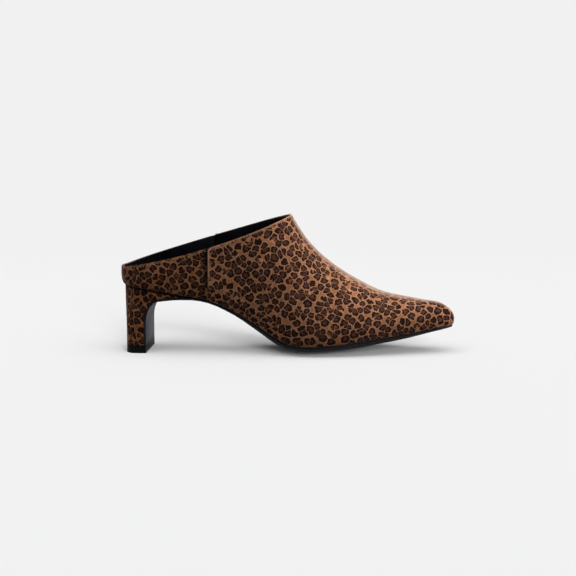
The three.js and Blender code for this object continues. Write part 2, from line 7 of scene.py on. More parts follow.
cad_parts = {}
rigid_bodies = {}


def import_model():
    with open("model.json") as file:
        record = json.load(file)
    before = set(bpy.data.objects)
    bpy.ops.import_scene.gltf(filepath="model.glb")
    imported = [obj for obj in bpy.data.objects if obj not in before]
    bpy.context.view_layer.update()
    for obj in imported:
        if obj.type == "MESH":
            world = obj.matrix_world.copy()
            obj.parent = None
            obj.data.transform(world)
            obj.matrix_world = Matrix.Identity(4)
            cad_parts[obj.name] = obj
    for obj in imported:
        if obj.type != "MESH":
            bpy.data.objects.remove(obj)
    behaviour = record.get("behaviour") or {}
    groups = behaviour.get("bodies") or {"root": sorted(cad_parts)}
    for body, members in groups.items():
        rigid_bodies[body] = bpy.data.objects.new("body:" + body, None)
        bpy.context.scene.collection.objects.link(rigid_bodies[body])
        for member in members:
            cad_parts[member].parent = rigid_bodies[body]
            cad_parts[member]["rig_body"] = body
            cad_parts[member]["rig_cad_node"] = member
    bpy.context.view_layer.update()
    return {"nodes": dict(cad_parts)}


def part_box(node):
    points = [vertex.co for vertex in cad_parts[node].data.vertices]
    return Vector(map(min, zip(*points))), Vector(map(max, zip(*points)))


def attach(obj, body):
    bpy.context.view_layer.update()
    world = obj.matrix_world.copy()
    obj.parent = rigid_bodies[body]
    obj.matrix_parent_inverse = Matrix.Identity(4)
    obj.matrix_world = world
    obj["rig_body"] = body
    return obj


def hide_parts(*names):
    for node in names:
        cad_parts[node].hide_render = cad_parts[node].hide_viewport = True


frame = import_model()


# Upper, outside: vamp and quarter
# Two panels of leopard-printed suede. The vamp covers the toe and instep in one piece and its
# folded rear edge is sewn over the low quarter, which runs round the back. Both are pulled over
# the last and turned in under the insole.
SEAM_X = -0.0590
VAMP_EDGE = SEAM_X + 0.0002
QUARTER_EDGE = SEAM_X + 0.00005
SUEDE_THICK = 0.00085
FOLD_ROUND = 0.0003
FOLD_REACH = 0.0030
FOLD_RISE = 0.0004
FOLD_WIDE = 0.0010
FOLD_NUB = 0.0007
NUB_DOWN = 0.0040
PRESS_DEPTH = 0.0006
PRESS_REACH = 0.0060
PRESS_LOW = 0.048
PRESS_HIGH = 0.066
MARGIN_TOP = 0.052
HIDDEN_REAR = 0.002
CRAMPED_FROM = 0.100
CRAMPED = 0.00016
SAME_POINT = 1e-5
CELL_BEND = math.radians(50)
WALL_CORNER = math.radians(70)
RIM_CORNER = math.radians(60)
SMOOTHING = 2
MM = 1000
TAN_LIGHT = (0.570, 0.278, 0.152, 1)
TAN_DEEP = (0.395, 0.156, 0.068, 1)
TAN_WORN_AND_LIT = (0.620, 0.340, 0.200, 1)
SPOT_DARK = (0.013, 0.0042, 0.0028, 1)
SPOT_HEART = (0.108, 0.044, 0.036, 1)
SPOT_WARM = (0.240, 0.090, 0.042, 1)
EDGE_INK = (0.010, 0.009, 0.010, 1)
CREVICE_PAINTED_SHADE = (0.010, 0.005, 0.004, 1)
PAINTED_SHEEN_PALE = (0.780, 0.560, 0.460, 1)
SHEEN_TINT = (1.0, 0.84, 0.76, 1)


def select_only(piece):
    if bpy.context.object and bpy.context.object.mode != "OBJECT":
        bpy.ops.object.mode_set(mode="OBJECT")
    bpy.ops.object.select_all(action="DESELECT")
    bpy.context.view_layer.objects.active = piece
    piece.select_set(True)


def copy_of_node(node, name):
    """Copies a solid of the CAD frame as a mesh of its own, its triangles paired into cells."""
    piece = frame["nodes"][node].copy()
    piece.data = piece.data.copy()
    piece.name = piece.data.name = name
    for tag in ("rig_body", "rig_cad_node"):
        del piece[tag]
    piece.parent = None
    bpy.context.scene.collection.objects.link(piece)
    piece.hide_render = piece.hide_viewport = False
    piece.data.materials.clear()
    select_only(piece)
    bpy.ops.mesh.customdata_custom_splitnormals_clear()
    bpy.ops.object.mode_set(mode="EDIT")
    bpy.ops.mesh.select_all(action="SELECT")
    bpy.ops.mesh.remove_doubles(threshold=SAME_POINT)
    bpy.ops.mesh.tris_convert_to_quads(face_threshold=CELL_BEND, shape_threshold=CELL_BEND)
    bpy.ops.object.mode_set(mode="OBJECT")
    return piece


def start_selection(piece, kind):
    """Leaves a piece in object mode with nothing selected, ready to mark points, edges or faces."""
    select_only(piece)
    bpy.ops.object.mode_set(mode="EDIT")
    bpy.ops.mesh.select_mode(type=kind)
    bpy.ops.mesh.select_all(action="DESELECT")
    bpy.ops.object.mode_set(mode="OBJECT")


def keep_sheet(piece, near, facing):
    """Keeps the smooth sheet of faces around the face nearest to a place, looking that way."""
    seed = min((f for f in piece.data.polygons if f.normal.dot(Vector(facing)) > 0.3),
               key=lambda f: (f.center - Vector(near)).length).index
    select_only(piece)
    bpy.ops.object.mode_set(mode="EDIT")
    bpy.ops.mesh.select_mode(type="EDGE")
    bpy.ops.mesh.select_all(action="DESELECT")
    bpy.ops.mesh.edges_select_sharp(sharpness=WALL_CORNER)
    bpy.ops.mesh.mark_seam(clear=False)
    bpy.ops.mesh.select_mode(type="FACE")
    bpy.ops.mesh.select_all(action="DESELECT")
    bpy.ops.object.mode_set(mode="OBJECT")
    piece.data.polygons[seed].select = True
    bpy.ops.object.mode_set(mode="EDIT")
    bpy.ops.mesh.select_linked(delimit={"SEAM"})
    bpy.ops.mesh.select_all(action="INVERT")
    bpy.ops.mesh.delete(type="FACE")
    bpy.ops.mesh.select_all(action="SELECT")
    bpy.ops.mesh.mark_seam(clear=True)
    bpy.ops.object.mode_set(mode="OBJECT")


def merge_cramped(piece):
    """Merges points that lie almost together at the toe and would pinch the smooth skin."""
    start_selection(piece, "VERT")
    for point in piece.data.vertices:
        point.select = point.co.x > CRAMPED_FROM
    bpy.ops.object.mode_set(mode="EDIT")
    bpy.ops.mesh.remove_doubles(threshold=CRAMPED)
    bpy.ops.object.mode_set(mode="OBJECT")


def new_cut_map(mesh):
    while mesh.uv_layers:
        mesh.uv_layers.remove(mesh.uv_layers[0])
    return mesh.uv_layers.new(name="cut").name


def lay_flat(piece):
    """Unfolds a panel into its flat cut, in millimetres, for the print and the nap."""
    mesh = piece.data
    name = new_cut_map(mesh)
    select_only(piece)
    bpy.ops.object.mode_set(mode="EDIT")
    bpy.ops.mesh.select_all(action="SELECT")
    bpy.ops.uv.unwrap(method="MINIMUM_STRETCH", iterations=40, margin=0.001)
    bpy.ops.object.mode_set(mode="OBJECT")
    flat = mesh.uv_layers[name].uv
    flat_area = 0
    for face in mesh.polygons:
        corners = [flat[i].vector for i in face.loop_indices]
        turned = corners[1:] + corners[:1]
        flat_area += abs(sum(a.x * b.y - b.x * a.y for a, b in zip(corners, turned))) / 2
    size = MM * math.sqrt(sum(f.area for f in mesh.polygons) / flat_area)
    for corner in flat:
        corner.vector = corner.vector * size


def apply_modifier(piece, kind, **settings):
    select_only(piece)
    modifier = piece.modifiers.new(kind.lower(), kind)
    for name, value in settings.items():
        setattr(modifier, name, value)
    bpy.ops.object.modifier_apply(modifier=modifier.name)


def open_outlines(piece):
    """The open edges of a sheet: a table of joined points, and each closed line as places."""
    uses = {}
    for face in piece.data.polygons:
        for line in face.edge_keys:
            uses[line] = uses.get(line, 0) + 1
    beside = {}
    for line, count in uses.items():
        if count == 1:
            for here, there in (line, line[::-1]):
                beside.setdefault(here, []).append(there)
    outlines = []
    left = set(beside)
    while left:
        line = [min(left)]
        while line[-1] in left:
            left.remove(line[-1])
            line += [i for i in beside[line[-1]] if i in left][:1]
        outlines.append([piece.data.vertices[i].co.copy() for i in line])
    return beside, outlines


def finish_panel(piece, thick, round_edge, rubbed_or_lit=lambda place: True):
    """Smooths a sheet, gives it its thickness and rounds its rim; each point knows how far it is,
    in millimetres, from the rims that are rubbed, given a painted highlight and inked."""
    apply_modifier(piece, "SUBSURF", levels=SMOOTHING, render_levels=SMOOTHING)
    beside, outlines = open_outlines(piece)
    rim_tree = kdtree.KDTree(len(beside))
    for i in beside:
        if rubbed_or_lit(piece.data.vertices[i].co):
            rim_tree.insert(piece.data.vertices[i].co, i)
    rim_tree.balance()
    apply_modifier(piece, "SOLIDIFY", thickness=thick, offset=-1)
    apply_modifier(piece, "BEVEL", width=round_edge, segments=3, limit_method="ANGLE",
                   angle_limit=RIM_CORNER)
    rubbed_or_lit_distance = piece.data.attributes.new("edge_distance", "FLOAT", "POINT")
    rubbed_or_lit_distance.data.foreach_set("value", [MM * rim_tree.find(v.co)[2] for v in piece.data.vertices])
    select_only(piece)
    bpy.ops.object.shade_smooth()
    return outlines


def side_seam_shift(piece, out, reach):
    """Moves a layer of the wall out or in beside the side seam, most of all near the collar."""
    for point in piece.data.vertices:
        near = max(0.0, 1 - abs(point.co.x - SEAM_X) / reach) ** 2
        high = min(max((point.co.z - PRESS_LOW) / (PRESS_HIGH - PRESS_LOW), 0), 1)
        point.co.y += (1 if point.co.y > 0 else -1) * near * high * out


def cut_off(panel, unwanted):
    """Takes away the unwanted faces of a panel and unfolds what is left."""
    start_selection(panel, "FACE")
    for face in panel.data.polygons:
        face.select = unwanted(face.center)
    bpy.ops.object.mode_set(mode="EDIT")
    bpy.ops.mesh.delete(type="FACE")
    bpy.ops.object.mode_set(mode="OBJECT")
    lay_flat(panel)


vamp = copy_of_node("upper", "vamp")
keep_sheet(vamp, near=(0.02, -0.037, 0.022), facing=(0, -1, 0))
merge_cramped(vamp)
quarter = vamp.copy()
quarter.data = vamp.data.copy()
quarter.name = quarter.data.name = "quarter"
bpy.context.scene.collection.objects.link(quarter)

cut_off(vamp, lambda place: place.x < VAMP_EDGE)
vamp_outlines = finish_panel(
    vamp, SUEDE_THICK, FOLD_ROUND,
    lambda place: place.z > MARGIN_TOP or abs(place.x - VAMP_EDGE) < FOLD_WIDE)
side_seam_shift(vamp, FOLD_RISE, FOLD_REACH)
seam_top = max(point.co.z for point in vamp.data.vertices if point.co.x < SEAM_X + FOLD_WIDE)
for point in vamp.data.vertices:
    near = max(0.0, 1 - (point.co.x - SEAM_X) / FOLD_REACH)
    point.co.z += FOLD_NUB * near * max(0.0, 1 - (seam_top - point.co.z) / NUB_DOWN)

cut_off(quarter, lambda place: place.x > QUARTER_EDGE)
quarter_outlines = finish_panel(
    quarter, SUEDE_THICK, FOLD_ROUND,
    lambda place: place.z > MARGIN_TOP and place.x < QUARTER_EDGE - HIDDEN_REAR)
side_seam_shift(quarter, -PRESS_DEPTH, PRESS_REACH)

for panel in (vamp, quarter):
    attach(panel, "root")
    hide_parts("upper")


def node(tree, kind, inputs=None, **settings):
    made = tree.nodes.new("ShaderNode" + kind)
    for name, value in settings.items():
        setattr(made, name, value)
    for socket, value in (inputs or {}).items():
        if isinstance(value, bpy.types.NodeSocket):
            tree.links.new(value, made.inputs[socket])
        else:
            made.inputs[socket].default_value = value
    return made


def math_node(tree, operation, *values):
    return node(tree, "Math", dict(enumerate(values)), operation=operation).outputs[0]


def ramp(tree, value, low, high, to_low=0.0, to_high=1.0):
    return node(tree, "MapRange", {"Value": value, "From Min": low, "From Max": high,
                                   "To Min": to_low, "To Max": to_high},
                interpolation_type="SMOOTHSTEP").outputs["Result"]


def blend_colour(tree, share, first, second):
    mixer = node(tree, "Mix", data_type="RGBA")
    for socket, value in ((0, share), (6, first), (7, second)):
        if isinstance(value, bpy.types.NodeSocket):
            tree.links.new(value, mixer.inputs[socket])
        else:
            mixer.inputs[socket].default_value = value
    return mixer.outputs[2]


def new_group(name, inputs, outputs):
    group = bpy.data.node_groups.new(name, "ShaderNodeTree")
    for label, kind, value in inputs:
        socket = group.interface.new_socket(label, in_out="INPUT", socket_type="NodeSocket" + kind)
        if value is not None:
            socket.default_value = value
    for label, kind in outputs:
        group.interface.new_socket(label, in_out="OUTPUT", socket_type="NodeSocket" + kind)
    return group, group.nodes.new("NodeGroupInput"), group.nodes.new("NodeGroupOutput")


def shifted(tree, place, scale, amount, detail):
    """Moves each place about by a soft noise of the given size, in millimetres."""
    drift = node(tree, "TexNoise", {"Vector": place, "Scale": scale, "Detail": detail},
                 noise_dimensions="2D").outputs["Color"]
    centred = node(tree, "VectorMath", {0: drift, 1: (0.5, 0.5, 0.5)}, operation="SUBTRACT").outputs[0]
    moved = node(tree, "VectorMath", {0: centred, 1: (amount, amount, 0)},
                 operation="MULTIPLY").outputs[0]
    return node(tree, "VectorMath", {0: place, 1: moved}, operation="ADD").outputs[0]


# The print: rosettes a few millimetres across, each a dark lobed patch with a paler heart,
# some of them open on one side, on a tan network that is paler where it is narrow. The sizes
# are shares of the distance between spots, the drifts are waves of the cloth in millimetres.
DRIFTS = ((0.10, 2.6, 1), (0.28, 1.7, 1), (0.55, 0.9, 0))
SCATTER = 0.78
MOST_LOBES = 2.0
NOTCH = (0.12, 0.50)
SPOT_REACH = (0.47, 0.63)
SPOT_CLEAR = (0.065, 0.105)
SPOT_SLOPE = 0.75
SPOT_ROUNDING = 0.38
SPOT_RIM = (-0.099, -0.034)
OPEN_WIDTH = (0.70, 0.88)
OPEN_FROM = (0.08, 0.20)
OPEN_CHANCE = (0.88, 0.89)
WARM_CHANCE = (0.84, 0.86)
HEART_REACH = 0.30
HEART_IN = 0.03
HEART_ROUNDING = 0.1
HEART_MOTTLE = (-0.10, 0.08)
HEART_RIM = (0.005, 0.085)
HEART_CHANCE = (0.0, 0.25)
WIDE_GROUND = (-0.10, -0.21)

leopard, given, wanted = new_group(
    "leopard_print",
    [("Place", "Vector", None), ("Spacing", "Float", 7.1)],
    [("Spot", "Float"), ("Heart", "Float"), ("Warm", "Float"), ("Ground", "Float")])
place = given.outputs["Place"]
for scale, amount, detail in DRIFTS:
    place = shifted(leopard, place, scale, amount, detail)
per_mm = math_node(leopard, "DIVIDE", 1.0, given.outputs["Spacing"])
cell = node(leopard, "TexVoronoi", {"Vector": place, "Scale": per_mm, "Randomness": SCATTER},
            voronoi_dimensions="2D", feature="F1")
border = node(leopard, "TexVoronoi", {"Vector": place, "Scale": per_mm, "Randomness": SCATTER},
              voronoi_dimensions="2D", feature="DISTANCE_TO_EDGE").outputs["Distance"]
own = node(leopard, "SeparateColor", {"Color": cell.outputs["Color"]})
chance_a, chance_b, chance_c = own.outputs
from_middle = cell.outputs["Distance"]
away = node(leopard, "SeparateXYZ", {0: node(
    leopard, "VectorMath", {0: place, 1: cell.outputs["Position"]}, operation="SUBTRACT").outputs[0]})
angle = math_node(leopard, "ARCTAN2", away.outputs[1], away.outputs[0])
extra_lobes = math_node(leopard, "ROUND", math_node(leopard, "MULTIPLY", chance_a, MOST_LOBES))
lobes = math_node(leopard, "ADD", extra_lobes, 2.0)
lobe_turn = math_node(leopard, "MULTIPLY", math_node(leopard, "MULTIPLY", angle, lobes), 0.5)
petal = math_node(leopard, "ABSOLUTE", math_node(leopard, "COSINE", math_node(
    leopard, "ADD", lobe_turn, math_node(leopard, "MULTIPLY", chance_c, 37.0))))
notch = math_node(leopard, "MULTIPLY", ramp(leopard, petal, 0.55, 0.0),
                  ramp(leopard, chance_c, 0.0, 1.0, *NOTCH))
reach = math_node(leopard, "MULTIPLY", ramp(leopard, chance_b, 0.0, 1.0, *SPOT_REACH),
                  math_node(leopard, "SUBTRACT", 1.0, notch))
rounded = math_node(leopard, "MULTIPLY", math_node(leopard, "SUBTRACT", reach, from_middle), SPOT_SLOPE)
clear = math_node(leopard, "SUBTRACT", border, ramp(leopard, chance_a, 0.0, 1.0, *SPOT_CLEAR))
depth = math_node(leopard, "SMOOTH_MIN", clear, rounded, SPOT_ROUNDING)
side_turn = math_node(leopard, "ADD", angle, math_node(leopard, "MULTIPLY", chance_a, 71.0))
open_side = ramp(leopard, math_node(leopard, "COSINE", side_turn), *OPEN_WIDTH)
open_side = math_node(leopard, "MULTIPLY", open_side, ramp(leopard, chance_c, *OPEN_CHANCE))
opened = math_node(leopard, "MULTIPLY", open_side, ramp(leopard, from_middle, *OPEN_FROM))
spot = math_node(leopard, "MULTIPLY", ramp(leopard, depth, *SPOT_RIM),
                 math_node(leopard, "SUBTRACT", 1.0, opened))
mottle = node(leopard, "TexNoise", {"Vector": given.outputs["Place"], "Scale": 0.7, "Detail": 2},
              noise_dimensions="2D").outputs["Fac"]
core = math_node(leopard, "SMOOTH_MIN", math_node(leopard, "SUBTRACT", depth, HEART_IN),
                 math_node(leopard, "SUBTRACT", HEART_REACH, from_middle), HEART_ROUNDING)
mottled = math_node(leopard, "ADD", core, ramp(leopard, mottle, 0.35, 0.65, *HEART_MOTTLE))
heart = math_node(leopard, "MULTIPLY", ramp(leopard, mottled, *HEART_RIM),
                  ramp(leopard, chance_b, *HEART_CHANCE))
for label, value in (("Spot", spot), ("Heart", heart), ("Warm", ramp(leopard, chance_c, *WARM_CHANCE)),
                     ("Ground", ramp(leopard, depth, *WIDE_GROUND))):
    leopard.links.new(value, wanted.inputs[label])

# The nap: short fibres that lie over in patches, so the pile looks lighter and darker.
nap, given, wanted = new_group(
    "suede_nap",
    [("Place", "Vector", None)],
    [("Shade", "Float"), ("Height", "Float")])
brushed = node(nap, "TexNoise", {"Vector": given.outputs["Place"], "Scale": 0.14, "Detail": 3},
               noise_dimensions="2D").outputs["Fac"]
fibres = node(nap, "TexNoise", {"Vector": given.outputs["Place"], "Scale": 4.5, "Detail": 3},
              noise_dimensions="2D").outputs["Fac"]
shade = math_node(nap, "ADD", ramp(nap, brushed, 0.3, 0.7, 0.90, 1.06),
                  ramp(nap, fibres, 0.25, 0.75, -0.10, 0.10))
nap.links.new(shade, wanted.inputs["Shade"])
nap.links.new(fibres, wanted.inputs["Height"])


# Where the suede is rubbed and given a painted highlight, inked, or darkened with painted shade:
# distances from a rim in millimetres, places in metres, and how far a face looks up.
WORN_AND_LIT_REACH = (1.5, 0.7)
WORN_AND_LIT_HEIGHT = (0.046, 0.066)
INK_REACH = (1.1, 0.9)
INK_FACING = (0.70, 0.85)
INK_END = (-0.002, -0.010)
CREVICE_SHADE_REACH = (SEAM_X - 0.0055, SEAM_X - 0.0008)
CREVICE_SHADE_HEIGHT = (0.046, 0.062)
GROOVE_SHADE_REACH = (1.5, 0.8)
FLECKS = (0.56, 0.74)
FLECK_SHARE = 0.30
PAINTED_SHEEN_FROM = 0.50


def leopard_suede(name, spacing, turn, painted_shade_tone, sheen, painted_rim_sheen, wear_and_highlight=0.0, crevice_shade=0.0, groove_shade=0.0):
    """Printed suede. The last three say how strongly the rims are rubbed, given a painted highlight
    and inked, and how strong the painted shade is behind the vamp's fold and along the heel's top."""
    material = bpy.data.materials.new(name)
    material.use_nodes = True
    tree = material.node_tree
    cut = node(tree, "UVMap", uv_map="cut").outputs["UV"]
    place = node(tree, "Mapping", {"Vector": cut, "Rotation": (0, 0, turn)}).outputs["Vector"]
    spots = node(tree, "Group", node_tree=leopard)
    spots.inputs["Spacing"].default_value = spacing
    tree.links.new(place, spots.inputs["Place"])
    pile = node(tree, "Group", node_tree=nap)
    tree.links.new(place, pile.inputs["Place"])
    ground = blend_colour(tree, spots.outputs["Ground"], TAN_LIGHT, TAN_DEEP)
    middle = blend_colour(tree, spots.outputs["Warm"], SPOT_HEART, SPOT_WARM)
    dark = blend_colour(tree, spots.outputs["Heart"], SPOT_DARK, middle)
    colour = blend_colour(tree, spots.outputs["Spot"], ground, dark)
    fleck = math_node(tree, "MULTIPLY", ramp(tree, pile.outputs["Height"], *FLECKS), FLECK_SHARE)
    colour = blend_colour(tree, fleck, colour, TAN_LIGHT)
    at = node(tree, "SeparateXYZ", {0: node(tree, "TexCoord").outputs["Object"]})
    # Rims blended toward a paler tan that fades lower down: partly wear, partly painted highlight.
    if wear_and_highlight > 0:
        rim = node(tree, "Attribute", attribute_name="edge_distance").outputs["Fac"]
        worn_and_lit = math_node(tree, "MULTIPLY", ramp(tree, rim, *WORN_AND_LIT_REACH),
                         ramp(tree, at.outputs[2], *WORN_AND_LIT_HEIGHT, 0.0, wear_and_highlight))
        colour = blend_colour(tree, worn_and_lit, colour, TAN_WORN_AND_LIT)
        facing = node(tree, "SeparateXYZ", {0: node(tree, "NewGeometry").outputs["Normal"]})
        inked = math_node(tree, "MULTIPLY", ramp(tree, rim, *INK_REACH),
                          ramp(tree, facing.outputs[2], *INK_FACING))
        inked = math_node(tree, "MULTIPLY", inked, ramp(tree, at.outputs[0], *INK_END))
        colour = blend_colour(tree, inked, colour, EDGE_INK)
    # Painted shade on the quarter behind the vamp's fold, strongest near the collar.
    if crevice_shade > 0:
        behind = math_node(tree, "MULTIPLY", ramp(tree, at.outputs[0], *CREVICE_SHADE_REACH),
                           ramp(tree, at.outputs[2], *CREVICE_SHADE_HEIGHT))
        colour = blend_colour(tree, math_node(tree, "MULTIPLY", behind, crevice_shade), colour, CREVICE_PAINTED_SHADE)
    # Painted shade along the heel's top rim, below the upper.
    if groove_shade > 0:
        from_rim = node(tree, "Attribute", attribute_name="groove_shade").outputs["Fac"]
        shade = math_node(tree, "MULTIPLY", ramp(tree, from_rim, *GROOVE_SHADE_REACH), groove_shade)
        colour = blend_colour(tree, shade, colour, CREVICE_PAINTED_SHADE)
    # Painted sheen: a pale colour blended in where the surface turns away from the view.
    turned_away = node(tree, "LayerWeight", {"Blend": 0.5}).outputs["Facing"]
    glow = ramp(tree, turned_away, PAINTED_SHEEN_FROM, 1.0, 0.0, painted_rim_sheen)
    colour = blend_colour(tree, glow, colour, PAINTED_SHEEN_PALE)
    # Painted shade: a lower tone darkens the panel and deepens its colour.
    shaded = node(tree, "HueSaturation", {
        "Color": colour, "Saturation": 1.25 - 0.25 * painted_shade_tone,
        "Value": math_node(tree, "MULTIPLY", pile.outputs["Shade"], painted_shade_tone)})
    bump = node(tree, "Bump", {"Height": pile.outputs["Height"], "Strength": 0.35, "Distance": 0.0002})
    shader = tree.nodes["Principled BSDF"]
    tree.links.new(shaded.outputs["Color"], shader.inputs["Base Color"])
    tree.links.new(bump.outputs["Normal"], shader.inputs["Normal"])
    shader.inputs["Roughness"].default_value = 0.92
    shader.inputs["Specular IOR Level"].default_value = 0.07
    shader.inputs["Sheen Weight"].default_value = sheen
    shader.inputs["Sheen Roughness"].default_value = 0.28
    shader.inputs["Sheen Tint"].default_value = SHEEN_TINT
    return material


# The quarter and the heel take lower tones than the vamp: painted shade.
vamp.data.materials.append(leopard_suede(
    "vamp_suede", spacing=5.7, turn=0.0, painted_shade_tone=0.98, sheen=0.44, painted_rim_sheen=0.75, wear_and_highlight=0.75))
quarter.data.materials.append(leopard_suede(
    "quarter_suede", spacing=5.7, turn=0.9, painted_shade_tone=0.78, sheen=0.10, painted_rim_sheen=0.3, wear_and_highlight=0.35,
    crevice_shade=0.8))


# Stitches
# Tonal thread that holds the turned edge all round the collar, and a row beside the vamp's
# fold where it is sewn over the quarter. Each stitch is a short loop that dips in at both ends.
STITCH_HALF = 0.00095
STITCH_RADIUS = 0.00022
STITCH_FACETS = 8
STITCH_PITCH = 0.0027
STITCH_LIFT = 0.00006
COLLAR_INSET = 0.0015
FOLD_INSET = 0.0016
FOLD_BAND = 0.0006
FOLD_LOWEST = 0.0475
SEAM_CLEAR = 0.0016
RIM_CLEAR = 0.0008
OUTWARD = 0.001
SPINE_REAR = -0.100
SPINE_FRONT = -0.022
NO_LENGTH = 1e-9
THREAD_DARK = (0.300, 0.140, 0.070, 1)
THREAD_LIGHT = (0.620, 0.380, 0.235, 1)

bpy.ops.object.select_all(action="DESELECT")
bpy.ops.mesh.primitive_uv_sphere_add(segments=STITCH_FACETS, ring_count=STITCH_FACETS, radius=1,
                                     location=(0, 0, 0))
pattern_stitch = bpy.context.object
bpy.ops.object.mode_set(mode="EDIT")
bpy.ops.transform.resize(value=(STITCH_RADIUS, STITCH_RADIUS, STITCH_HALF))
bpy.ops.object.mode_set(mode="OBJECT")
for point in pattern_stitch.data.vertices:
    point.co.x -= STITCH_RADIUS * (point.co.z / STITCH_HALF) ** 2
bpy.ops.object.shade_smooth()


def even_places(line, pitch):
    """Points at even distances along a closed line, each with the line's direction there."""
    places = []
    done, wanted_at = 0.0, 0.0
    for start, end in zip(line, line[1:] + line[:1]):
        run = end - start
        while wanted_at <= done + run.length:
            share = (wanted_at - done) / max(run.length, NO_LENGTH)
            places.append((start + run * share, run.normalized()))
            wanted_at += pitch
        done += run.length
    return places


stitches = []
for panel, outlines in ((vamp, vamp_outlines), (quarter, quarter_outlines)):
    for place, along in even_places(max(outlines, key=len), STITCH_PITCH):
        beside_fold = abs(place.x - SEAM_X) < FOLD_BAND
        if beside_fold and (panel is quarter or place.z < FOLD_LOWEST):
            continue
        if not beside_fold and (place.z < MARGIN_TOP or abs(place.x - SEAM_X) < SEAM_CLEAR):
            continue
        middle = Vector((min(max(place.x, SPINE_REAR), SPINE_FRONT), 0, place.z))
        outward = OUTWARD * (place - middle).normalized()
        inset = Vector((FOLD_INSET, 0, 0)) if beside_fold else Vector((0, 0, -COLLAR_INSET))
        found, seat, normal, _ = panel.closest_point_on_mesh(place + inset + outward)
        along = (along - along.dot(normal) * normal).normalized()
        if not found or seat.z > place.z - RIM_CLEAR and not beside_fold:
            continue
        sewn = pattern_stitch.copy()
        sewn.data = pattern_stitch.data.copy()
        bpy.context.scene.collection.objects.link(sewn)
        across = along.cross(normal)
        turn = Matrix((normal, across, along)).transposed().to_4x4()
        sewn.data.transform(Matrix.Translation(seat + STITCH_LIFT * normal) @ turn)
        stitches.append(sewn)
bpy.data.objects.remove(pattern_stitch)
bpy.ops.object.select_all(action="DESELECT")
for sewn in stitches:
    sewn.select_set(True)
bpy.context.view_layer.objects.active = stitches[0]
bpy.ops.object.join()
thread_rows = bpy.context.object
thread_rows.name = thread_rows.data.name = "thread_rows"
thread = bpy.data.materials.new("thread")
thread.use_nodes = True
tree = thread.node_tree
shader = tree.nodes["Principled BSDF"]
uneven = node(tree, "TexNoise", {"Vector": node(tree, "TexCoord").outputs["Object"],
                                 "Scale": 700.0, "Detail": 2}).outputs["Fac"]
tree.links.new(blend_colour(tree, ramp(tree, uneven, 0.3, 0.7), THREAD_DARK, THREAD_LIGHT),
               shader.inputs["Base Color"])
twist = node(tree, "Bump", {"Height": uneven, "Strength": 0.5, "Distance": 0.0001})
tree.links.new(twist.outputs["Normal"], shader.inputs["Normal"])
shader.inputs["Roughness"].default_value = 0.62
shader.inputs["Specular IOR Level"].default_value = 0.3
thread_rows.data.materials.append(thread)
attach(thread_rows, "root")


# Lining
# One layer of smooth black leather glued to the inside of the upper. It ends just under the
# suede's folded edge at the collar and is turned in with it under the insole.
LINING_THICK = 0.0008
LINING_ROUND = 0.00025
THROAT_FROM = -0.012
THROAT_TO = 0.001
THROAT_LOW = 0.095
THROAT_FADE = 0.006
THROAT_DROP = 0.0010
LINING_DARK = (0.0032, 0.0032, 0.0055, 1)
LINING_LIGHT = (0.0060, 0.0060, 0.0095, 1)
LINING_GLINT = (0.92, 0.90, 1.0, 1)

lining = copy_of_node("upper", "lining")
keep_sheet(lining, near=(0.02, -0.035, 0.03), facing=(0, 1, 0))
merge_cramped(lining)
lay_flat(lining)
finish_panel(lining, LINING_THICK, LINING_ROUND)
for point in lining.data.vertices:
    near_front = min(max((point.co.x - THROAT_FROM) / (THROAT_TO - THROAT_FROM), 0), 1)
    if point.co.z > THROAT_LOW:
        point.co.z -= THROAT_DROP * near_front * min((point.co.z - THROAT_LOW) / THROAT_FADE, 1)
side_seam_shift(lining, -PRESS_DEPTH, PRESS_REACH)
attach(lining, "root")
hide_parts("upper")

grain, given, wanted = new_group(
    "leather_grain",
    [("Place", "Vector", None), ("Pores", "Float", 900.0)],
    [("Height", "Float"), ("Patchy", "Float")])
pebbles = node(grain, "TexVoronoi", {"Vector": given.outputs["Place"], "Scale": given.outputs["Pores"]},
               voronoi_dimensions="3D", feature="DISTANCE_TO_EDGE").outputs["Distance"]
patchy = node(grain, "TexNoise", {"Vector": given.outputs["Place"], "Scale": 60.0,
                                  "Detail": 3}).outputs["Fac"]
grain.links.new(ramp(grain, pebbles, 0.0, 0.25), wanted.inputs["Height"])
grain.links.new(patchy, wanted.inputs["Patchy"])


def black_leather(name, dark, light, pores, relief, roughness, gloss=0.5, glint=(1.0, 1.0, 1.0, 1)):
    """Dyed leather or rubber: two near-black tones in soft patches, under a fine grain."""
    material = bpy.data.materials.new(name)
    material.use_nodes = True
    tree = material.node_tree
    skin = node(tree, "Group", node_tree=grain)
    skin.inputs["Pores"].default_value = pores
    tree.links.new(node(tree, "TexCoord").outputs["Object"], skin.inputs["Place"])
    share = ramp(tree, skin.outputs["Patchy"], 0.35, 0.65)
    shader = tree.nodes["Principled BSDF"]
    tree.links.new(blend_colour(tree, share, dark, light), shader.inputs["Base Color"])
    tree.links.new(ramp(tree, skin.outputs["Patchy"], 0.3, 0.7, *roughness), shader.inputs["Roughness"])
    shader.inputs["Specular IOR Level"].default_value = gloss
    shader.inputs["Specular Tint"].default_value = glint
    bump = node(tree, "Bump", {"Height": skin.outputs["Height"], "Strength": relief,
                               "Distance": 0.00008})
    tree.links.new(bump.outputs["Normal"], shader.inputs["Normal"])
    return material


lining.data.materials.append(black_leather(
    "lining_leather", LINING_DARK, LINING_LIGHT, pores=1400.0, relief=0.2, roughness=(0.30, 0.40),
    gloss=0.42, glint=LINING_GLINT))


# Insole
# A shaped board that carries the foot, covered with the same black leather and glued on the
# turned-in margin of the upper. Its rim is slightly rounded where the leather wraps it.
SOCK_ROUND = 0.0005
SOCK_DARK = (0.008, 0.008, 0.010, 1)
SOCK_LIGHT = (0.013, 0.013, 0.016, 1)


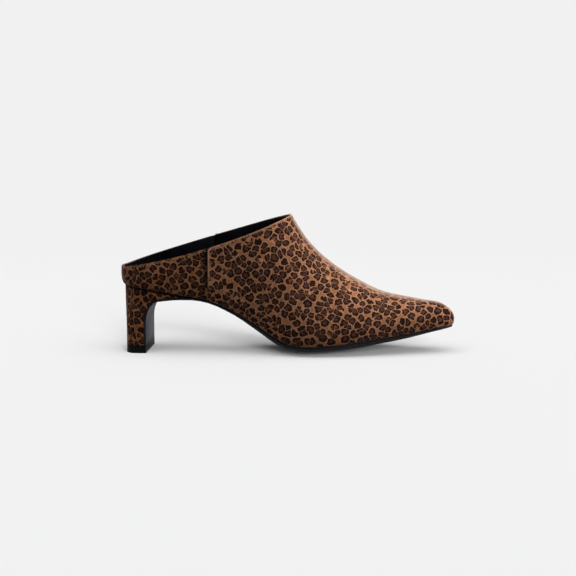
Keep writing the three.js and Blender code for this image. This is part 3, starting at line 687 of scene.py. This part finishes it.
def soften_edges(piece, width, segments, corner, smooth_below):
    """Rounds the corners of a hard piece and shades the rest smooth. The angles are in degrees."""
    apply_modifier(piece, "BEVEL", width=width, segments=segments, limit_method="ANGLE",
                   angle_limit=math.radians(corner))
    select_only(piece)
    bpy.ops.object.shade_smooth_by_angle(angle=math.radians(smooth_below))


insole = copy_of_node("insole", "insole_sock")
soften_edges(insole, SOCK_ROUND, 3, corner=50, smooth_below=40)
insole.data.materials.append(black_leather(
    "sock_leather", SOCK_DARK, SOCK_LIGHT, pores=1100.0, relief=0.35, roughness=(0.42, 0.55)))
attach(insole, "root")
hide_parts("insole")


# Outsole
# Thin black sole leather with a waxed edge, in one piece from the toe through the arch and
# down the front of the heel. It is cemented to the turned-in upper.
FLAP_END = -0.080
FLAP_FACING = 0.25
SOLE_ROUND = 0.0004
SOLE_DARK = (0.0040, 0.0044, 0.0064, 1)
SOLE_LIGHT = (0.0075, 0.0084, 0.0122, 1)
FLAP_LIT_DARK = (0.014, 0.011, 0.019, 1)
FLAP_LIT_LIGHT = (0.022, 0.017, 0.030, 1)
FLAP_GLINT = (0.88, 0.82, 1.0, 1)

outsole = copy_of_node("outsole", "sole")
outsole.data.materials.append(black_leather(
    "sole_leather", SOLE_DARK, SOLE_LIGHT, pores=700.0, relief=0.2, roughness=(0.44, 0.56), gloss=0.2))
outsole.data.materials.append(black_leather(
    "flap_leather_painted_light", FLAP_LIT_DARK, FLAP_LIT_LIGHT, pores=800.0, relief=0.3, roughness=(0.42, 0.56), gloss=0.10,
    glint=FLAP_GLINT))
# The flap's faces that look forward, toward the key light, get a lighter, lilac copy of the sole
# leather: painted light.
for face in outsole.data.polygons:
    face.material_index = int(face.center.x < FLAP_END and face.normal.x > FLAP_FACING)
soften_edges(outsole, SOLE_ROUND, 2, corner=50, smooth_below=35)
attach(outsole, "root")
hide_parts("outsole")


# Heel
# A slim solid block covered with the same printed suede, which is turned in at the front under
# the sole's flap. A thin wedge of it reaches under the arch. Its rounded top leaves a groove
# below the upper, darkened with painted shade.
WRAP_FRONT = -0.0755
BACK_DEEP = 0.006
BACK_BULGE = 0.0012
BACK_CORNER = 0.003
TOP_ROUND = 0.0010
HEEL_ROUND = 0.0004
FLAT_TOP = 0.8
STEEP_WALL = 0.6
RIM_STEPS = 24

heel = copy_of_node("heel", "heel_cover")
low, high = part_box("heel")
ring = [(WRAP_FRONT, low.y), (low.x + BACK_DEEP, low.y), (low.x + BACK_BULGE, low.y + BACK_CORNER),
        (low.x, 0.0), (low.x + BACK_BULGE, high.y - BACK_CORNER), (low.x + BACK_DEEP, high.y),
        (WRAP_FRONT, high.y)]


def wrap_round(place):
    """How far round the block a place lies, along the ring, and how high, in millimetres."""
    best = (math.inf, 0)
    done = 0
    for start, end in zip(ring, ring[1:]):
        run = Vector(end) - Vector(start)
        share = min(max((Vector(place[:2]) - Vector(start)).dot(run) / run.length_squared, 0), 1)
        miss = (Vector(start) + share * run - Vector(place[:2])).length
        best = min(best, (miss, done + share * run.length))
        done += run.length
    return Vector((MM * best[1], MM * place[2]))


cut_map = new_cut_map(heel.data)
wraps = [wrap_round(v.co) for v in heel.data.vertices]
for corner, loop in zip(heel.data.uv_layers[cut_map].uv, heel.data.loops):
    corner.vector = wraps[loop.vertex_index]
flat_tops = {line for face in heel.data.polygons if face.normal.z > FLAT_TOP for line in face.edge_keys}
walls = {line for face in heel.data.polygons if abs(face.normal.z) < STEEP_WALL
         for line in face.edge_keys}
start_selection(heel, "EDGE")
groove_places = []
for line in heel.data.edges:
    line.select = line.key in flat_tops and line.key in walls
    if line.select:
        start, end = (heel.data.vertices[i].co for i in line.vertices)
        groove_places += [start.lerp(end, i / RIM_STEPS) for i in range(RIM_STEPS + 1)]
groove_tree = kdtree.KDTree(len(groove_places))
for i, place in enumerate(groove_places):
    groove_tree.insert(place, i)
groove_tree.balance()
bpy.ops.object.mode_set(mode="EDIT")
bpy.ops.mesh.bevel(offset=TOP_ROUND, segments=3, affect="EDGES", clamp_overlap=True)
bpy.ops.object.mode_set(mode="OBJECT")
soften_edges(heel, HEEL_ROUND, 3, corner=45, smooth_below=40)
grooved = heel.data.attributes.new("groove_shade", "FLOAT", "POINT")
grooved.data.foreach_set("value", [MM * groove_tree.find(v.co)[2] for v in heel.data.vertices])
# Its lower tone is painted shade.
heel.data.materials.append(leopard_suede(
    "heel_suede", spacing=5.4, turn=0.3, painted_shade_tone=0.74, sheen=0.08, painted_rim_sheen=0.3, groove_shade=0.9))
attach(heel, "root")
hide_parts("heel")


# Top piece
# The heel's foot: a slab of hard black rubber that takes the wear, nailed and glued under the
# block and trimmed flush with its cover.
TIP_ROUND = 0.0004
TIP_DARK = (0.004, 0.004, 0.0045, 1)
TIP_LIGHT = (0.007, 0.007, 0.008, 1)

top_piece = copy_of_node("top_piece", "heel_tip")
soften_edges(top_piece, TIP_ROUND, 3, corner=50, smooth_below=40)
top_piece.data.materials.append(black_leather(
    "tip_rubber", TIP_DARK, TIP_LIGHT, pores=2200.0, relief=0.3, roughness=(0.5, 0.62), gloss=0.08))
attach(top_piece, "root")
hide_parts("top_piece")


# Studio
# A pale paper sweep under and behind the shoe. A soft overhead lamp, a key from beyond the toe
# and a rim lamp from behind light the shoe. Two more light only the paper, and there only the
# outsole and the top piece throw a shadow. The camera stands where the photo was taken.
PAPER = (0.86, 0.86, 0.86, 1)
PAPER_BOUNCE = (0.16, 0.16, 0.16, 1)
PAPER_WIDE = 6.0
PAPER_HIGH = 4.0
PAPER_REAR = 2.9
PAPER_FLOOR = 0.1
PAPER_BEND = 1.5
BEND_STEPS = 16
BACKDROP = (0.880, 0.880, 0.880, 1)
GLOW_STARTS = 0.30
GLOW_FULL = 0.90
SKY = (0.97, 0.98, 1.0, 1)
SKY_STRENGTH = 0.14
TARGET = Vector((0.0005, 0.0, 0.0484))
DISTANCE = 1.2
ELEVATION = math.radians(7.2)
AZIMUTH = math.radians(3.4)
LENS = 96.75
SENSOR = 36

bpy.ops.object.select_all(action="DESELECT")
bpy.ops.mesh.primitive_plane_add(size=PAPER_WIDE, location=(0, 0, 0))
paper = bpy.context.object
paper.name = "paper_sweep"
start_selection(paper, "EDGE")
for line in paper.data.edges:
    line.select = all(paper.data.vertices[i].co.y > PAPER_REAR for i in line.vertices)
bpy.ops.object.mode_set(mode="EDIT")
bpy.ops.mesh.extrude_region_move(TRANSFORM_OT_translate={"value": (0, 0, PAPER_HIGH)})
bpy.ops.object.mode_set(mode="OBJECT")
for line in paper.data.edges:
    ends = [paper.data.vertices[i].co for i in line.vertices]
    line.select = all(p.y > PAPER_REAR and p.z < PAPER_FLOOR for p in ends)
bpy.ops.object.mode_set(mode="EDIT")
bpy.ops.mesh.bevel(offset=PAPER_BEND, segments=BEND_STEPS, affect="EDGES")
bpy.ops.object.mode_set(mode="OBJECT")
bpy.ops.object.shade_smooth()
paper_white = bpy.data.materials.new("paper_white")
paper_white.use_nodes = True
tree = paper_white.node_tree
sheet = tree.nodes["Principled BSDF"]
sheet.inputs["Roughness"].default_value = 1.0
sheet.inputs["Specular IOR Level"].default_value = 0.0
rays = node(tree, "LightPath").outputs
seen = math_node(tree, "MAXIMUM", rays["Is Camera Ray"], rays["Is Glossy Ray"])
tree.links.new(blend_colour(tree, seen, PAPER_BOUNCE, PAPER), sheet.inputs["Base Color"])
far_off = node(tree, "VectorMath", {0: node(tree, "TexCoord").outputs["Object"]},
               operation="LENGTH").outputs["Value"]
beyond = ramp(tree, far_off, GLOW_STARTS, GLOW_FULL)
glow = node(tree, "Emission", {"Color": BACKDROP})
fade = node(tree, "MixShader", {0: math_node(tree, "MULTIPLY", beyond, seen),
                                1: sheet.outputs[0], 2: glow.outputs[0]})
tree.links.new(fade.outputs[0], tree.nodes["Material Output"].inputs["Surface"])
paper.data.materials.append(paper_white)

world = bpy.data.worlds.new("studio")
world.use_nodes = True
sky = world.node_tree.nodes["Background"]
sky.inputs["Color"].default_value = SKY
sky.inputs["Strength"].default_value = SKY_STRENGTH
bpy.context.scene.world = world


def collect(name, *pieces):
    group = bpy.data.collections.new(name)
    bpy.context.scene.collection.children.link(group)
    for piece in pieces:
        group.objects.link(piece)
    return group


def add_sun(name, towards, strength, angle, colour, lit):
    data = bpy.data.lights.new(name, "SUN")
    data.energy = strength
    data.angle = math.radians(angle)
    data.color = colour
    lamp = bpy.data.objects.new(name, data)
    lamp.rotation_euler = Vector(towards).to_track_quat("-Z", "Y").to_euler()
    lamp.light_linking.receiver_collection = lit
    bpy.context.scene.collection.objects.link(lamp)
    return lamp


shoe = collect("shoe", vamp, quarter, thread_rows, lining, insole, outsole, heel, top_piece)
ground = collect("ground", paper)
underside = collect("underside", outsole, top_piece)
add_sun("overhead", (0.10, 0.0, -1.0), 2.45, 50, (1.0, 0.995, 0.985), shoe)
add_sun("front_key", (-1.0, 0.03, -0.50), 1.95, 45, (1.0, 0.97, 0.94), shoe)
add_sun("rim", (-0.25, -1.0, -0.40), 1.5, 30, (1.0, 0.96, 0.94), shoe)
soft = add_sun("floor_soft", (-0.07, 0.30, -1.0), 2.02, 90, (1.0, 1.0, 1.0), ground)
soft.light_linking.blocker_collection = underside
low = add_sun("floor_low", (-0.30, 0.94, -0.24), 3.4, 20, (1.0, 1.0, 1.0), ground)
low.light_linking.blocker_collection = underside

eye = TARGET + DISTANCE * Vector((math.sin(AZIMUTH) * math.cos(ELEVATION),
                                  -math.cos(AZIMUTH) * math.cos(ELEVATION), math.sin(ELEVATION)))
camera = bpy.data.objects.new("camera", bpy.data.cameras.new("camera"))
camera.data.lens = LENS
camera.data.sensor_width = SENSOR
camera.location = eye
camera.rotation_euler = (TARGET - eye).to_track_quat("-Z", "Y").to_euler()
bpy.context.scene.collection.objects.link(camera)
bpy.context.scene.camera = camera
bpy.context.scene.view_settings.view_transform = "Standard"
